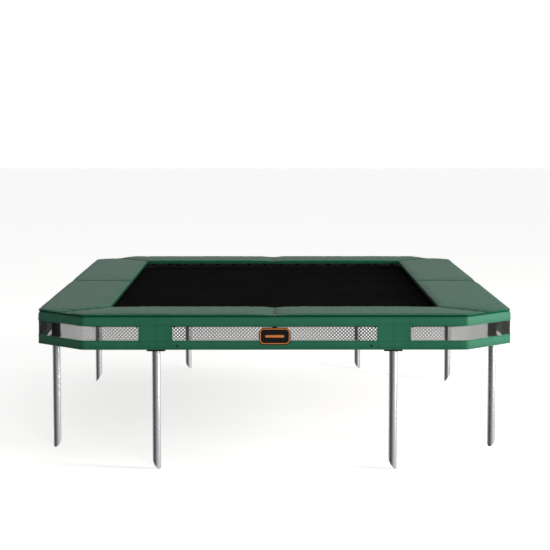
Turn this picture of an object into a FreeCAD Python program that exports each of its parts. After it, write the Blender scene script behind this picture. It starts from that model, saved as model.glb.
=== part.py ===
import FreeCAD, Part
import math
import os
import re
import Sketcher
from FreeCAD import Rotation, Vector

# In-ground rectangular trampoline with cut corners: a steel tube frame on eight ground posts, a
# woven mat hung in it on springs, and a padded cover ring with a skirt that stands over the frame.
# X is the width, Y the length, Z is up. The origin is under the centre, at the tips of the posts.

os.makedirs("parts", exist_ok=True)
doc = FreeCAD.newDocument("trampoline")

# Driving dimensions, in millimetres.
SIZES = {
    # outline over the outside of the skirt
    "overall_width": 2400,
    "overall_length": 3400,
    "corner_cut": 248,
    # pads: foam in a sewn cover
    "pad_top": 779,
    "pad_width": 353,
    "pad_thickness": 20,
    "cover_thickness": 1.5,
    "foam_split": 4,
    # skirt and its net windows
    "seam_drop": 14,
    "skirt_bottom": 604,
    "skirt_thickness": 1.5,
    "window_low": 651,
    "window_high": 721,
    "post_panel": 166,
    "net_thickness": 1,
    "net_overlap": 8,
    "badge_width": 157,
    "badge_height": 86,
    "badge_middle": 671,
    "badge_radius": 26,
    "badge_thickness": 1.5,
    # tubes of the frame
    "pad_clearance": 0.85,
    "rail_inset": 45,
    "rail_diameter": 42.4,
    "tube_wall": 2,
    "bend_radius": 150,
    "rail_gap": 4,
    # sockets: a sleeve for the rails over an upright socket for the post
    "post_from_corner": 612,
    "sleeve_wall": 2.6,
    "socket_wall": 2.3,
    "sleeve_length": 200,
    "slip": 0.35,
    "flange_drop": 10,
    "flange_length": 92,
    "flange_width": 55,
    "flange_thickness": 6,
    "flange_radius": 10,
    # ground posts
    "post_diameter": 42.4,
    "post_gap": 8,
    "swage": 1.4,
    "swage_drop": 3,
    "tip_rise": 60,
    # mat, its webbing hem and rings
    "mat_gap": 245,
    "mat_drop": 6,
    "mat_thickness": 2,
    "hem_width": 45,
    "hem_thickness": 2,
    "ring_reach": 22,
    "ring_width": 34,
    "ring_wire": 4,
    # springs
    "spring_pitch": 109,
    "corner_ring_pitch": 54,
    "corner_hook_pitch": 110,
    "spring_diameter": 22,
    "coil_length": 135,
    "hook_wire": 3.2,
    "hook_clearance": 1,
    "hook_hole": 9,
    # tabs under the pads, and the frame's screws
    "tab_width": 30,
    "tab_thickness": 2,
    "tab_drop": 60,
    "tab_gap": 20,
    "screw_diameter": 5,
    "screw_length": 12,
    "screw_head": 11,
    "screw_head_height": 3,
}
sheet = doc.addObject("Spreadsheet::Sheet", "Sizes")
for row, (name, value) in enumerate(SIZES.items(), 1):
    sheet.set(f"A{row}", name)
    sheet.set(f"B{row}", str(value))
    sheet.setAlias(f"B{row}", name)
doc.recompute()

# A line offset by D inside a cut corner starts D * CORNER further along than the outline's own.
CORNER = "(sqrt(2) - 1)"

# The sleeves just clear the pads, and the rails, posts and mat take their heights from them.
SLEEVE_RADIUS = "(rail_diameter / 2 + slip + sleeve_wall)"
SOCKET_RADIUS = "((post_diameter - swage) / 2 + slip + socket_wall)"
RAIL_HEIGHT = f"(pad_top - pad_thickness - pad_clearance - {SLEEVE_RADIUS})"
FLANGE_LOW = "(skirt_bottom - flange_drop)"
POST_TOP = f"({RAIL_HEIGHT} - {SLEEVE_RADIUS} - post_gap)"
MAT_HEIGHT = f"({RAIL_HEIGHT} - mat_drop)"
MAT_INSET = "(rail_inset + mat_gap)"

# The four sides. Each runs from its own corner along the outline, with the inside on its left, so
# every side piece is drawn from that corner, with x along the side and y inward.
SIDES = {
    "front": (0, "-overall_width / 2", "-overall_length / 2", "overall_width"),
    "right": (90, "overall_width / 2", "-overall_length / 2", "overall_length"),
    "back": (180, "overall_width / 2", "overall_length / 2", "overall_width"),
    "left": (270, "-overall_width / 2", "overall_length / 2", "overall_length"),
}
CORNERS = {
    "front": "front_left",
    "right": "front_right",
    "back": "back_right",
    "left": "back_left",
}
# Posts: the side each stands under, which end of it, and where its sharpened tip points.
POSTS = {
    "front_left": ("front", False, -40),
    "front_right": ("front", True, -40),
    "right_front": ("right", False, -117),
    "right_back": ("right", True, -160),
    "back_right": ("back", False, -45),
    "back_left": ("back", True, -45),
    "left_back": ("left", False, -160),
    "left_front": ("left", True, -117),
}
nodes = []


def read(name):
    return float(sheet.get(name))


# The same derived sizes as numbers, for the pieces that are built as plain shapes.
sleeve_radius = read("rail_diameter") / 2 + read("slip") + read("sleeve_wall")
socket_radius = (read("post_diameter") - read("swage")) / 2 + read("slip") + read("socket_wall")
rail_height = read("pad_top") - read("pad_thickness") - read("pad_clearance") - sleeve_radius
flange_low = read("skirt_bottom") - read("flange_drop")
post_top = rail_height - sleeve_radius - read("post_gap")
mat_height = rail_height - read("mat_drop")


def bind(text):
    """The expression with each name of the sheet as FreeCAD refers to it."""
    return re.sub(r"[a-z]\w*", lambda m: f"Sizes.{m[0]}" if m[0] in SIZES else m[0], text)


def drive(thing, prop, text):
    thing.setExpression(prop, bind(text))


def body(label):
    made = doc.addObject("PartDesign::Body", label)
    made.Label = label
    nodes.append(made)
    return made


def stand(made, side, along="0", inward="0", turn=None):
    """Puts a piece drawn from a side's corner in place."""
    angle, corner_x, corner_y, _ = SIDES[side]
    step_x, step_y = {
        0: (f"+ ({along})", f"+ ({inward})"),
        90: (f"- ({inward})", f"+ ({along})"),
        180: (f"- ({along})", f"- ({inward})"),
        270: (f"+ ({inward})", f"- ({along})"),
    }[angle]
    made.Placement.Rotation = Rotation(Vector(0, 0, 1), angle if turn is None else turn)
    drive(made, "Placement.Base.x", f"{corner_x} {step_x}")
    drive(made, "Placement.Base.y", f"{corner_y} {step_y}")


def sketch(made, plane, offset="0"):
    drawn = made.newObject("Sketcher::SketchObject", "Sketch")
    origin_plane = next(o for o in made.Origin.OriginFeatures if o.Role == plane)
    drawn.AttachmentSupport = [(origin_plane, "")]
    drawn.MapMode = "FlatFace"
    drive(drawn, "AttachmentOffset.Base.z", offset)
    return drawn


def fix(drawn, piece, end, x, y, rough=(1.0, 1.0)):
    """Ties a point of a sketch to two expressions."""
    for kind, text, value in (("DistanceX", x, rough[0]), ("DistanceY", y, rough[1])):
        index = drawn.addConstraint(Sketcher.Constraint(kind, -1, 1, piece, end, value))
        drive(drawn, f"Constraints[{index}]", text)


def loop(drawn, points):
    """A closed outline through points given as pairs of expressions."""
    first = drawn.GeometryCount
    for i in range(len(points)):
        a, b = (2 * math.pi * n / len(points) for n in (i, i + 1))
        start = Vector(math.cos(a), math.sin(a), 0)
        end = Vector(math.cos(b), math.sin(b), 0)
        drawn.addGeometry(Part.LineSegment(start, end), False)
    for i, (x, y) in enumerate(points):
        before = first + (i - 1) % len(points)
        drawn.addConstraint(Sketcher.Constraint("Coincident", before, 2, first + i, 1))
        fix(drawn, first + i, 1, x, y)


def circle(drawn, x, y, diameter):
    piece = drawn.addGeometry(Part.Circle(Vector(0, 0, 0), Vector(0, 0, 1), 1), False)
    fix(drawn, piece, 3, x, y)
    index = drawn.addConstraint(Sketcher.Constraint("Diameter", piece, 2.0))
    drive(drawn, f"Constraints[{index}]", diameter)


def extrude(made, drawn, length):
    feature = made.newObject("PartDesign::Pad", "Pad")
    feature.Profile = drawn
    drive(feature, "Length", length)
    drawn.Visibility = False
    return feature


def cut(made, drawn, length):
    feature = made.newObject("PartDesign::Pocket", "Pocket")
    feature.Profile = drawn
    drive(feature, "Length", length)
    drawn.Visibility = False
    return feature


def plate(label, points, low, high):
    """An upright prism over an outline, between two heights."""
    made = body(label)
    drawn = sketch(made, "XY_Plane", low)
    loop(drawn, points)
    extrude(made, drawn, f"{high} - ({low})")
    return made


def gather(label, shapes):
    """One node for a set of small pieces."""
    made = doc.addObject("Part::Feature", label)
    made.Label = label
    made.Shape = Part.makeCompound(shapes)
    nodes.append(made)


def put_from_corner(shape, side):
    """Turns a shape drawn from a side's corner into place."""
    angle = SIDES[side][0]
    width, depth = read("overall_width") / 2, read("overall_length") / 2
    corner = {0: (-width, -depth), 90: (width, -depth), 180: (width, depth), 270: (-width, depth)}
    shape.rotate(Vector(0, 0, 0), Vector(0, 0, 1), angle)
    shape.translate(Vector(*corner[angle], 0))
    return shape


def inset(depth):
    """How far along a side a cut corner's line starts when it is offset inward by depth."""
    return f"corner_cut + ({depth}) * {CORNER}"


def octagon(depth):
    """The whole outline, offset inward by depth, from the front left corner."""
    near = inset(depth)
    far_x, far_y = f"overall_width - ({near})", f"overall_length - ({near})"
    right, back = f"overall_width - ({depth})", f"overall_length - ({depth})"
    return [
        (near, depth), (far_x, depth), (right, near), (right, far_y),
        (far_x, back), (near, back), (depth, far_y), (depth, near),
    ]


def corner_wall(outer, inner, end):
    """The plan of a thin wall round a cut corner, from end on one side to end on the next."""
    return [
        (end, outer), (inset(outer), outer), (outer, inset(outer)), (outer, end),
        (inner, end), (inner, inset(inner)), (inset(inner), inner), (end, inner),
    ]


# ---- Frame: rails ----
# Straight galvanised tubes between the sleeves of each side, with a row of hook holes inside.


def spring_places(side):
    """Expressions for the springs along a side, measured from its corner."""
    length = SIDES[side][3]
    edge = read(length) - 2 * (read("corner_cut") + (math.sqrt(2) - 1) * read("rail_inset"))
    edge -= 2 * (math.sqrt(2) - 1) * read("mat_gap")
    half = math.floor(edge / read("spring_pitch") / 2 + 0.5)
    return [f"{length} / 2 + ({k + 0.5}) * spring_pitch" for k in range(-half, half)]


def place_value(text):
    """The value of an expression of the form that spring_places gives."""
    length, steps = text.split(" / 2 + (")
    return read(length) / 2 + float(steps.split(")")[0]) * read("spring_pitch")


def hook_holes(made, places, shift, low, high):
    """Round holes through the inner wall of a tube, at the springs between low and high."""
    reach = read("hook_hole")
    chosen = [p for p in places if low + reach < place_value(p) < high - reach]
    if not chosen:
        return
    drawn = sketch(made, "XZ_Plane", "0" if shift else "-rail_inset")
    for place in chosen:
        circle(drawn, f"{place} - ({shift or 0})", RAIL_HEIGHT, "hook_hole")
    cut(made, drawn, "rail_diameter")


for side, (_, _, _, length) in SIDES.items():
    rail = body(f"rail_{side}")
    start = "post_from_corner + rail_gap / 2"
    profile = sketch(rail, "YZ_Plane", start)
    circle(profile, "rail_inset", RAIL_HEIGHT, "rail_diameter")
    circle(profile, "rail_inset", RAIL_HEIGHT, "rail_diameter - 2 * tube_wall")
    extrude(rail, profile, f"{length} - 2 * ({start})")
    free_from = read("post_from_corner") + read("rail_gap") / 2
    hook_holes(rail, spring_places(side), None, free_from, read(length) - free_from)
    stand(rail, side)

# ---- Frame: corner rails ----
# Tubes bent twice by 45 degrees, from the sleeve on one side round to the next side's.


def bent_path(drawn):
    """The centre line of a corner rail: three runs joined by two tangent arcs."""
    radius, depth = read("bend_radius"), read("rail_inset")
    near = read("corner_cut") + depth * (math.sqrt(2) - 1)
    tangent = "bend_radius * " + CORNER
    end = "post_from_corner - rail_gap / 2"
    points = [
        (end, "rail_inset"),
        (f"{inset('rail_inset')} + {tangent}", "rail_inset"),
        (f"{inset('rail_inset')} - {tangent} / sqrt(2)", f"rail_inset + {tangent} / sqrt(2)"),
        (f"rail_inset + {tangent} / sqrt(2)", f"{inset('rail_inset')} - {tangent} / sqrt(2)"),
        ("rail_inset", f"{inset('rail_inset')} + {tangent}"),
        ("rail_inset", end),
    ]
    reach = radius * (math.sqrt(2) - 1)
    fold = reach / math.sqrt(2)
    far = read("post_from_corner") - read("rail_gap") / 2
    rough = [
        Vector(far, depth, 0), Vector(near + reach, depth, 0), Vector(near - fold, depth + fold, 0),
        Vector(depth + fold, near - fold, 0), Vector(depth, near + reach, 0), Vector(depth, far, 0),
    ]
    for a, b in ((0, 1), (2, 3), (4, 5)):
        piece = drawn.addGeometry(Part.LineSegment(rough[a], rough[b]), False)
        fix(drawn, piece, 1, *points[a], rough[a])
        fix(drawn, piece, 2, *points[b], rough[b])
    up = Vector(0, 0, 1)
    for centre, low, high, first, last in (
        (Vector(near + reach, depth + radius, 0), 225, 270, (1, 1), (0, 2)),
        (Vector(depth + radius, near + reach, 0), 180, 225, (2, 1), (1, 2)),
    ):
        arc = Part.ArcOfCircle(Part.Circle(centre, up, radius), math.radians(low), math.radians(high))
        piece = drawn.addGeometry(arc, False)
        drawn.addConstraint(Sketcher.Constraint("Coincident", piece, 1, *first))
        drawn.addConstraint(Sketcher.Constraint("Coincident", piece, 2, *last))
        index = drawn.addConstraint(Sketcher.Constraint("Radius", piece, radius))
        drive(drawn, f"Constraints[{index}]", "bend_radius")


for side, corner in CORNERS.items():
    rail = body(f"rail_corner_{corner}")
    path = sketch(rail, "XY_Plane", RAIL_HEIGHT)
    bent_path(path)
    profile = sketch(rail, "YZ_Plane", "post_from_corner - rail_gap / 2")
    circle(profile, "rail_inset", RAIL_HEIGHT, "rail_diameter")
    circle(profile, "rail_inset", RAIL_HEIGHT, "rail_diameter - 2 * tube_wall")
    doc.recompute()
    pipe = rail.newObject("PartDesign::AdditivePipe", "Pipe")
    pipe.Profile = profile
    pipe.Spine = (path, [f"Edge{n}" for n in (1, 4, 2, 5, 3)])
    stand(rail, side)

# ---- Frame: post sockets ----
# A sleeve over the ends of two rails, welded on an upright socket with an oblong foot flange.

for name, (side, far_end, _) in POSTS.items():
    socket = body(f"socket_{name}")
    sleeve = sketch(socket, "YZ_Plane", "-sleeve_length / 2")
    circle(sleeve, "0", RAIL_HEIGHT, f"2 * {SLEEVE_RADIUS}")
    extrude(socket, sleeve, "sleeve_length")
    upright = sketch(socket, "XY_Plane", FLANGE_LOW)
    circle(upright, "0", "0", f"2 * {SOCKET_RADIUS}")
    extrude(socket, upright, f"{RAIL_HEIGHT} - {FLANGE_LOW}")
    foot = sketch(socket, "XY_Plane", FLANGE_LOW)
    half_x, half_y = "flange_length / 2", "flange_width / 2"
    loop(foot, [
        (f"-{half_x}", f"-{half_y}"), (half_x, f"-{half_y}"), (half_x, half_y), (f"-{half_x}", half_y),
    ])
    extrude(socket, foot, "flange_thickness")
    doc.recompute()
    welded = socket.Tip
    upright_edges = [
        f"Edge{n}" for n, edge in enumerate(welded.Shape.Edges, 1)
        if abs(edge.BoundBox.ZLength - read("flange_thickness")) < 0.01
        and abs(abs(edge.CenterOfMass.x) - read("flange_length") / 2) < 0.01
        and abs(abs(edge.CenterOfMass.y) - read("flange_width") / 2) < 0.01
    ]
    rounding = socket.newObject("PartDesign::Fillet", "Fillet")
    rounding.Base = (welded, upright_edges)
    drive(rounding, "Radius", "flange_radius")
    doc.recompute()
    rail_bore = sketch(socket, "YZ_Plane", "sleeve_length / 2")
    circle(rail_bore, "0", RAIL_HEIGHT, "rail_diameter + 2 * slip")
    cut(socket, rail_bore, "sleeve_length")
    post_bore = sketch(socket, "XY_Plane", f"{POST_TOP} + 2 * slip")
    circle(post_bore, "0", "0", "post_diameter - swage + 2 * slip")
    cut(socket, post_bore, f"{POST_TOP} + 2 * slip - {FLANGE_LOW}")
    along = "post_from_corner"
    if far_end:
        along = f"{SIDES[side][3]} - post_from_corner"
    middle = read(SIDES[side][3]) - read("post_from_corner") if far_end else read("post_from_corner")
    half = read("sleeve_length") / 2
    hook_holes(socket, spring_places(side), along, middle - half, middle + half)
    stand(socket, side, along, "rail_inset")

    # ---- Ground post ----
    # A galvanised tube whose lower end is cut slanting, so that it can be driven into the ground.
    # Its upper end is swaged smaller from just below the flange, to enter the socket.
    post = body(f"post_{name}")
    profile = sketch(post, "XY_Plane")
    circle(profile, "0", "0", "post_diameter")
    circle(profile, "0", "0", "post_diameter - 2 * tube_wall")
    extrude(post, profile, f"{FLANGE_LOW} - swage_drop")
    neck = sketch(post, "XY_Plane", f"{FLANGE_LOW} - swage_drop")
    circle(neck, "0", "0", "post_diameter - swage")
    circle(neck, "0", "0", "post_diameter - 2 * tube_wall")
    extrude(post, neck, f"{POST_TOP} - {FLANGE_LOW} + swage_drop")
    bevel = sketch(post, "XZ_Plane", "post_diameter")
    radius = "post_diameter / 2"
    loop(bevel, [(radius, "0"), (f"-{radius}", "tip_rise"), (f"-{radius} - 1", "tip_rise"),
                 (f"-{radius} - 1", "-1"), (radius, "-1")])
    cut(post, bevel, "2 * post_diameter")
    stand(post, side, along, "rail_inset", POSTS[name][2])

# ---- Frame: screws ----
# Two self-drilling screws hold the rails in each sleeve and one holds each post in its socket.

screws = []
shank, head = read("screw_diameter") / 2, read("screw_head") / 2
for name, (side, far_end, _) in POSTS.items():
    length = read(SIDES[side][3])
    along = length - read("post_from_corner") if far_end else read("post_from_corner")
    quarter = read("sleeve_length") / 4
    low = (flange_low + read("flange_thickness") + post_top) / 2
    for x, z, radius, way in (
        (along - quarter, rail_height - sleeve_radius, sleeve_radius, Vector(0, 0, -1)),
        (along + quarter, rail_height - sleeve_radius, sleeve_radius, Vector(0, 0, -1)),
        (along, low, socket_radius, Vector(0, 1, 0)),
    ):
        seat = Vector(x, read("rail_inset") + way.y * radius, z)
        made = Part.makeCylinder(head, read("screw_head_height"), seat, way)
        made = made.fuse(Part.makeCylinder(shank, read("screw_length"), seat, way * -1))
        screws.append(put_from_corner(made, side))
gather("frame_screws", screws)

# ---- Mat ----
# Black woven polypropylene with a webbing hem sewn round its edge.

mat = plate("mat", octagon(MAT_INSET), f"{MAT_HEIGHT} - mat_thickness / 2",
            f"{MAT_HEIGHT} + mat_thickness / 2")
stand(mat, "front")
hem = body("mat_hem")
band = sketch(hem, "XY_Plane", f"{MAT_HEIGHT} + mat_thickness / 2")
loop(band, octagon(MAT_INSET))
loop(band, octagon(f"({MAT_INSET} + hem_width)"))
extrude(hem, band, "hem_thickness")
stand(hem, "front")

# ---- Springs and the rings they hook ----
# Closed coils stand in for the extension springs. Each ring is a triangle of wire on the mat's edge.


def spring(hook, ring):
    """A coil between two points, with a straight wire to each."""
    way = (ring - hook).normalize()
    slack = ((ring - hook).Length - read("coil_length")) / 2
    wire, coil = read("hook_wire") / 2, read("spring_diameter") / 2
    made = Part.makeCylinder(wire, slack + wire, hook, way)
    made = made.fuse(Part.makeCylinder(coil, read("coil_length"), hook + way * slack, way))
    return made.fuse(Part.makeCylinder(wire, slack + wire, ring - way * (slack + wire), way))


def ring_plate(middle, outward):
    """A triangular ring with its base on the mat's edge and its apex outward."""
    across = Vector(-outward.y, outward.x, 0)
    half, reach, wire = read("ring_width") / 2, read("ring_reach"), read("ring_wire")
    low = Vector(0, 0, mat_height - wire / 2)
    outer = [middle + across * half, middle + outward * reach + across * wire,
             middle + outward * reach - across * wire, middle - across * half]
    face = Part.Face(Part.makePolygon([p + low for p in [*outer, outer[0]]]))
    hole = [middle + outward * wire + across * (half - 2 * wire),
            middle + outward * (reach - wire) + across * 1,
            middle + outward * (reach - wire) - across * 1,
            middle + outward * wire - across * (half - 2 * wire)]
    gap = Part.Face(Part.makePolygon([p + low for p in [*hole, hole[0]]]))
    return face.cut(gap).extrude(Vector(0, 0, wire))


hook_line = sleeve_radius + read("hook_clearance")
mat_line = read("mat_gap")
ring_line = read("ring_reach") + read("hook_clearance")
rings = []
for side in SIDES:
    springs = []
    for place in spring_places(side):
        x = place_value(place)
        edge = Vector(x, read("rail_inset") + mat_line, 0)
        hook = Vector(x, read("rail_inset") + hook_line, rail_height)
        ring = Vector(x, edge.y - ring_line, mat_height)
        springs.append(put_from_corner(spring(hook, ring), side))
        rings.append(put_from_corner(ring_plate(edge, Vector(0, -1, 0)), side))
    # Two more springs fan across the cut corner where this side starts.
    out = Vector(-1, -1, 0).normalize()
    along = Vector(1, -1, 0).normalize()
    middle = (read("corner_cut") + math.sqrt(2) * read("rail_inset")) / 2
    centre = Vector(middle, middle, 0)
    for step in (-0.5, 0.5):
        edge = centre - out * mat_line + along * step * read("corner_ring_pitch")
        far = centre - out * hook_line + along * step * read("corner_hook_pitch")
        fan = (far - edge).normalize()
        hook = far + Vector(0, 0, rail_height)
        ring = edge + fan * (ring_line + 1) + Vector(0, 0, mat_height)
        springs.append(put_from_corner(spring(hook, ring), side))
        rings.append(put_from_corner(ring_plate(edge, out), side))
    gather(f"springs_{side}", springs)
gather("mat_rings", rings)

# ---- Cover ring: pads ----
# Each side's pad is a sewn cover over two foam slabs, mitred through the cut corners.

PAD_LOW = "(pad_top - pad_thickness)"
FIRST = "skirt_thickness"
INNER = "(skirt_thickness + cover_thickness)"
MITRE = "cover_thickness * sqrt(2)"
DIAGONAL = "((corner_cut + skirt_thickness * sqrt(2)) / 2)"


def pad_end(slope, outer, width, flip=None):
    """The points of one end of a pad's outline, from its inner corner to its outer edge."""
    points = [(f"{width} + {slope}", width), (f"{DIAGONAL} + {slope}", DIAGONAL),
              (inset(outer), outer)]
    if flip:
        points = [(f"{flip} - ({x})", y) for x, y in points]
    return points


for side, (_, _, _, length) in SIDES.items():
    outline = pad_end("0", FIRST, "pad_width") + pad_end("0", FIRST, "pad_width", length)[::-1]
    cover = plate(f"pad_cover_{side}", outline, PAD_LOW, "pad_top")
    width = "(pad_width - cover_thickness)"
    cavity = pad_end(MITRE, INNER, width) + pad_end(MITRE, INNER, width, length)[::-1]
    hollow = sketch(cover, "XY_Plane", "pad_top - cover_thickness")
    loop(hollow, cavity)
    cut(cover, hollow, "pad_thickness - 2 * cover_thickness")
    stand(cover, side)
    # Two slabs fill the cover and meet, a little apart, at the middle of the side.
    foam = body(f"foam_{side}")
    slabs = sketch(foam, "XY_Plane", f"{PAD_LOW} + cover_thickness")
    for flip, step in ((None, "-"), (length, "+")):
        middle = f"({length} {step} foam_split) / 2"
        loop(slabs, pad_end(MITRE, INNER, width, flip) + [(middle, INNER), (middle, width)])
    foam.AllowCompound = True
    extrude(foam, slabs, "pad_thickness - 2 * cover_thickness")
    stand(foam, side)

# ---- Cover ring: skirt ----
# A hanging wall of the same sheet with net windows, joined at the middle of each post panel.

SKIRT_TOP = "pad_top - seam_drop"
NET_LOW, NET_HIGH = "window_low - net_overlap", "window_high + net_overlap"
for side, (_, _, _, length) in SIDES.items():
    start, panel = "post_from_corner", "post_from_corner + post_panel / 2"
    wall = [(start, "0"), (f"{length} - {start}", "0"),
            (f"{length} - {start}", "skirt_thickness"), (start, "skirt_thickness")]
    skirt = plate(f"skirt_{side}", wall, "skirt_bottom", SKIRT_TOP)
    window = sketch(skirt, "XY_Plane", "window_high")
    loop(window, [(panel, "-1"), (f"{length} - ({panel})", "-1"),
                  (f"{length} - ({panel})", "skirt_thickness + 1"), (panel, "skirt_thickness + 1")])
    cut(skirt, window, "window_high - window_low")
    stand(skirt, side)
    edge = f"({panel} - net_overlap)"
    back = "skirt_thickness + net_thickness"
    net = plate(f"net_{side}", [(edge, "skirt_thickness"), (f"{length} - {edge}", "skirt_thickness"),
                                (f"{length} - {edge}", back), (edge, back)], NET_LOW, NET_HIGH)
    stand(net, side)

for side, corner in CORNERS.items():
    skirt = plate(f"skirt_corner_{corner}", corner_wall("0", "skirt_thickness", "post_from_corner"),
                  "skirt_bottom", SKIRT_TOP)
    window = sketch(skirt, "XY_Plane", "window_high")
    panel = "post_from_corner - post_panel / 2"
    loop(window, [("-1", "-1"), (panel, "-1"), (panel, panel), ("-1", panel)])
    cut(skirt, window, "window_high - window_low")
    stand(skirt, side)
    net = plate(f"net_corner_{corner}",
                corner_wall("skirt_thickness", "(skirt_thickness + net_thickness)",
                            f"({panel} + net_overlap)"), NET_LOW, NET_HIGH)
    stand(net, side)

# ---- Cover ring: badge ----
# A plain plaque with rounded corners on the middle of the front skirt.

badge = body("badge")
face = sketch(badge, "XZ_Plane")
half_x = "badge_width / 2"
low, high = "badge_middle - badge_height / 2", "badge_middle + badge_height / 2"
loop(face, [(f"overall_width / 2 - {half_x}", low), (f"overall_width / 2 + {half_x}", low),
            (f"overall_width / 2 + {half_x}", high), (f"overall_width / 2 - {half_x}", high)])
extrude(badge, face, "badge_thickness")
doc.recompute()
plaque = badge.Tip
corners = [f"Edge{n}" for n, edge in enumerate(plaque.Shape.Edges, 1)
           if abs(edge.BoundBox.YLength - read("badge_thickness")) < 0.01]
rounding = badge.newObject("PartDesign::Fillet", "Fillet")
rounding.Base = (plaque, corners)
drive(rounding, "Radius", "badge_radius")
stand(badge, "front")

# ---- Cover ring: tabs ----
# Webbing tabs hang from the pads' undersides between the springs and steady the ring on the rails.

tabs = []
for side, (_, _, _, length) in SIDES.items():
    reach = round(read(length) / 4 / read("spring_pitch"))
    for step in (-reach, 0, reach):
        x = read(length) / 2 + step * read("spring_pitch") - read("tab_width") / 2
        low = read("pad_top") - read("pad_thickness") - read("tab_drop")
        tab = Part.makeBox(read("tab_width"), read("tab_thickness"), read("tab_drop"),
                           Vector(x, read("rail_inset") + sleeve_radius + read("tab_gap"), low))
        tabs.append(put_from_corner(tab, side))
gather("cover_tabs", tabs)

# ---- Check every piece and write it ----

doc.recompute()
for thing in doc.Objects:
    if "Invalid" in thing.State or "Error" in thing.State:
        raise RuntimeError(f"{thing.Label}: {thing.State}")
for node in nodes:
    if node.Shape.isNull() or not node.Shape.isValid() or not node.Shape.Solids:
        raise RuntimeError(f"{node.Label}: no valid solid")
for node in nodes:
    node.Shape.exportStep(f"parts/{node.Label}.step")
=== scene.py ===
import math
import bmesh
import bpy
from mathutils import Matrix, Vector, noise


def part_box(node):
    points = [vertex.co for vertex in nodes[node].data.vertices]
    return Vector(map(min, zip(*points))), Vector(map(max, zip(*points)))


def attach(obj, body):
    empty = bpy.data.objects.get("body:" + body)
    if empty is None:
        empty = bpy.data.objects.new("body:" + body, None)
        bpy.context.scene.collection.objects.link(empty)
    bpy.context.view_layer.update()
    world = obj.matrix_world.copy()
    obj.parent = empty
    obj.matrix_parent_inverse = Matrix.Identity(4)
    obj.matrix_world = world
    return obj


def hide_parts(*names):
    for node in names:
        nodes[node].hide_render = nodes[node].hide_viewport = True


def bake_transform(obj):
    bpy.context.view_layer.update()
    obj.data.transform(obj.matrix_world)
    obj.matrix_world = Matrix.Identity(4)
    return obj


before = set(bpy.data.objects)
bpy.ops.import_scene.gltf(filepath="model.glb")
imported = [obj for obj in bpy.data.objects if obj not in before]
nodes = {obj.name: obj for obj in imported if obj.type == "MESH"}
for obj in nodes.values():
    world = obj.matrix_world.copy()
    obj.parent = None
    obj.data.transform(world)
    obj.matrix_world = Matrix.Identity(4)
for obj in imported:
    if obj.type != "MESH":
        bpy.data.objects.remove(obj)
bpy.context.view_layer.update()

# ---- Studio ----
# A pale matt floor that glows a little, a white surround that darkens towards the near left, and
# soft lamps: a large low key from the right, a weak one from above and one from the front.


def linear(code, alpha=1.0):
    """An sRGB hex colour as linear numbers for a shader socket."""
    parts = [int(code[i:i + 2], 16) / 255 for i in (1, 3, 5)]
    return [c / 12.92 if c <= 0.04045 else ((c + 0.055) / 1.055) ** 2.4 for c in parts] + [alpha]


def join(tree, source, socket):
    """Links a socket, or a node's first output, to another socket."""
    tree.links.new(source.outputs[0] if isinstance(source, bpy.types.Node) else source, socket)


def add(tree, kind, settings=None, values=None, links=None):
    """One shader node with its settings, its socket values and what feeds it."""
    made = tree.nodes.new("ShaderNode" + kind)
    for key, value in (settings or {}).items():
        setattr(made, key, value)
    for key, value in (values or {}).items():
        made.inputs[key].default_value = value
    for key, source in (links or {}).items():
        join(tree, source, made.inputs[key])
    return made


def new_material(name, base, roughness, metallic=0.0, specular=0.5):
    """A named material with its shader; returns the material, its tree and the shader."""
    made = bpy.data.materials.new(name)
    made.use_nodes = True
    tree = made.node_tree
    shader = tree.nodes["Principled BSDF"]
    shader.inputs["Base Color"].default_value = linear(base)
    shader.inputs["Roughness"].default_value = roughness
    shader.inputs["Metallic"].default_value = metallic
    shader.inputs["Specular IOR Level"].default_value = specular
    return made, tree, shader


def feed(tree, shader, sources):
    """Joins each source to the shader's socket of that name."""
    for socket, source in sources.items():
        join(tree, source, shader.inputs[socket])


def new_object(name, bm, *materials, smooth=40):
    """A mesh object from a bmesh, smooth but for edges sharper than the angle in degrees."""
    mesh = bpy.data.meshes.new(name)
    for face in bm.faces:
        face.smooth = True
    bm.to_mesh(mesh)
    bm.free()
    mesh.set_sharp_from_angle(angle=math.radians(smooth))
    for material in materials:
        mesh.materials.append(material)
    made = bpy.data.objects.new(name, mesh)
    bpy.context.scene.collection.objects.link(made)
    return made


view = bpy.context.scene.view_settings
view.view_transform = "Standard"

camera = bpy.data.objects.new("camera", bpy.data.cameras.new("camera"))
camera.data.sensor_width = 36
camera.data.lens = 108.57
camera.location = (-0.030, -9.809, 1.757)
camera.rotation_euler = (math.radians(84.49), 0, math.radians(-0.221))
bpy.context.scene.collection.objects.link(camera)
bpy.context.scene.camera = camera

for name, place, aim, size, watts, tint in (
    ("key_lamp", (6.4, -2.9, 1.9), (0, 0, 0.6), 2.6, 510, "#fffaf2"),
    ("top_lamp", (0.5, 0.5, 6.0), (0, 0, 0), 5.0, 20, "#ffffff"),
    ("front_lamp", (1.5, -9.0, 3.2), (0, 0, 0.6), 3.0, 175, "#ffffff"),
):
    lamp = bpy.data.objects.new(name, bpy.data.lights.new(name, "AREA"))
    lamp.data.shape = "DISK"
    lamp.data.size = size
    lamp.data.energy = watts
    lamp.data.color = linear(tint)[:3]
    lamp.location = place
    lamp.visible_glossy = name != "front_lamp"
    lamp.rotation_euler = (Vector(aim) - Vector(place)).to_track_quat("-Z", "Y").to_euler()
    bpy.context.scene.collection.objects.link(lamp)

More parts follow.
